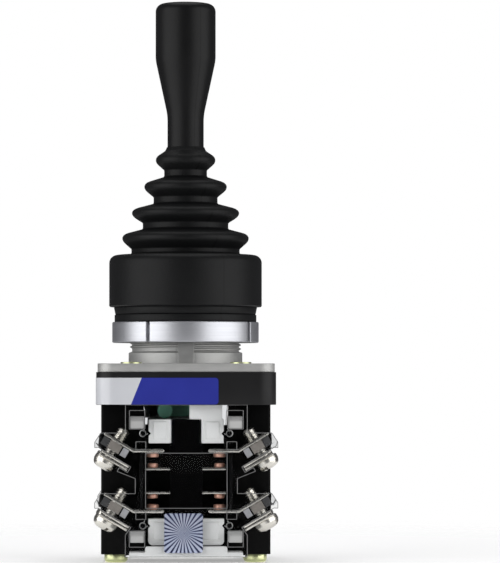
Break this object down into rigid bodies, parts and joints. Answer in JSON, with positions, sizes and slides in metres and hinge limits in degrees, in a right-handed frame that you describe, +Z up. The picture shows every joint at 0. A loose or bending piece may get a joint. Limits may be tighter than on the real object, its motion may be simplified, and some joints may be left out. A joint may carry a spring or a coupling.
{
  "type": "industrial joystick switch",
  "caption": "Panel-mounted four-way joystick switch with black lever, rubber bellows boot, ring nut and clear-fronted contact blocks below a square base.",
  "frame": {"origin": "centre of the flange's top face, on the lever's axis, where the panel's back lies", "axes": "+Z up along the lever at rest; -Y is the front with the label and the front contact block; +X to the right seen from the front"},
  "size_m": [0.0468, 0.0456, 0.145],
  "materials": {
    "handle_black": "satin black thermoset, faint mould texture",
    "rubber": "semi-matt black moulded rubber",
    "collar_black": "black plastic",
    "steel": "zinc plated steel",
    "spring_steel": "bright spring wire",
    "aluminium": "turned bright aluminium",
    "cast_zinc": "matt grey die casting",
    "zinc_yellow": "yellow zinc plated steel",
    "housing_black": "black moulded plastic",
    "rocker_green": "green moulded nylon",
    "block_black": "black moulded plastic",
    "clear_plastic": "clear polycarbonate",
    "white_plastic": "white moulded nylon",
    "copper": "copper coloured contact rivets",
    "nickel": "nickel plated"
  },
  "bodies": {
    "housing": {"rubber_boot": "rubber", "boot_collar": "collar_black", "upper_washer": "rubber", "lower_washer": "rubber", "ring_nut": "aluminium", "mounting_bush": "cast_zinc", "gate_plate": "steel", "flange_screws": "zinc_yellow", "base_housing": "housing_black", "fixing_screws": "zinc_yellow", "return_spring": "spring_steel", "front_block_body": "block_black", "front_clear_cover": "clear_plastic", "front_cover_latches": "white_plastic", "front_bottom_guide": "white_plastic", "front_fixed_rivets": "copper", "front_terminal_screws": "nickel", "front_clamp_plates": "nickel", "front_hairpin_springs": "spring_steel", "front_upper_left_terminal": "nickel", "front_upper_right_terminal": "nickel", "front_lower_left_terminal": "nickel", "front_lower_right_terminal": "nickel", "rear_block_body": "block_black", "rear_clear_cover": "clear_plastic", "rear_cover_latches": "white_plastic", "rear_bottom_guide": "white_plastic", "rear_fixed_rivets": "copper", "rear_terminal_screws": "nickel", "rear_clamp_plates": "nickel", "rear_hairpin_springs": "spring_steel", "rear_upper_left_terminal": "nickel", "rear_upper_right_terminal": "nickel", "rear_lower_left_terminal": "nickel", "rear_lower_right_terminal": "nickel"},
    "gimbal": {"gimbal": "steel"},
    "lever": {"handle": "handle_black", "lever_shaft": "steel", "lever_pin": "steel", "spring_plate": "steel", "retaining_clip": "steel"},
    "side_rocker": {"side_rocker": "rocker_green"},
    "front_slider": {"front_upper_slider": "white_plastic", "front_carrier": "block_black", "front_lower_slider": "white_plastic", "front_upper_bridge": "nickel", "front_lower_bridge": "nickel", "front_bridge_rivets": "copper", "front_contact_springs": "spring_steel"},
    "rear_slider": {"rear_upper_slider": "white_plastic", "rear_carrier": "block_black", "rear_lower_slider": "white_plastic", "rear_upper_bridge": "nickel", "rear_lower_bridge": "nickel", "rear_bridge_rivets": "copper", "rear_contact_springs": "spring_steel"}
  },
  "joints": [
    {"name": "tilt_forward_back", "type": "hinge", "parent": "housing", "child": "gimbal", "pos_m": [0, 0, -0.004], "axis": [1, 0, 0], "range_deg": [-15, 15], "stiffness_Nm_per_rad": 0.6, "deforming": ["rubber_boot", "return_spring"]},
    {"name": "tilt_left_right", "type": "hinge", "parent": "gimbal", "child": "lever", "pos_m": [0, 0, -0.004], "axis": [0, 1, 0], "range_deg": [-15, 15], "stiffness_Nm_per_rad": 0.6, "deforming": ["rubber_boot", "return_spring"]},
    {"name": "rocker_turn", "type": "hinge", "parent": "housing", "child": "side_rocker", "pos_m": [0, 0, -0.004], "axis": [0, 1, 0], "range_deg": [-16, 16]},
    {"name": "front_slide", "type": "slide", "parent": "housing", "child": "front_slider", "axis": [0, 0, 1], "range_m": [-0.00139, 0.00139]},
    {"name": "rear_slide", "type": "slide", "parent": "housing", "child": "rear_slider", "axis": [0, 0, 1], "range_m": [-0.00139, 0.00139]}
  ],
  "couplings": [
    {"joint": "rocker_turn", "follows": "tilt_left_right", "ratio": 1},
    {"joint": "front_slide", "follows": "tilt_left_right", "m_per_rad": -0.00524},
    {"joint": "rear_slide", "follows": "tilt_forward_back", "m_per_rad": 0.00524}
  ]
}
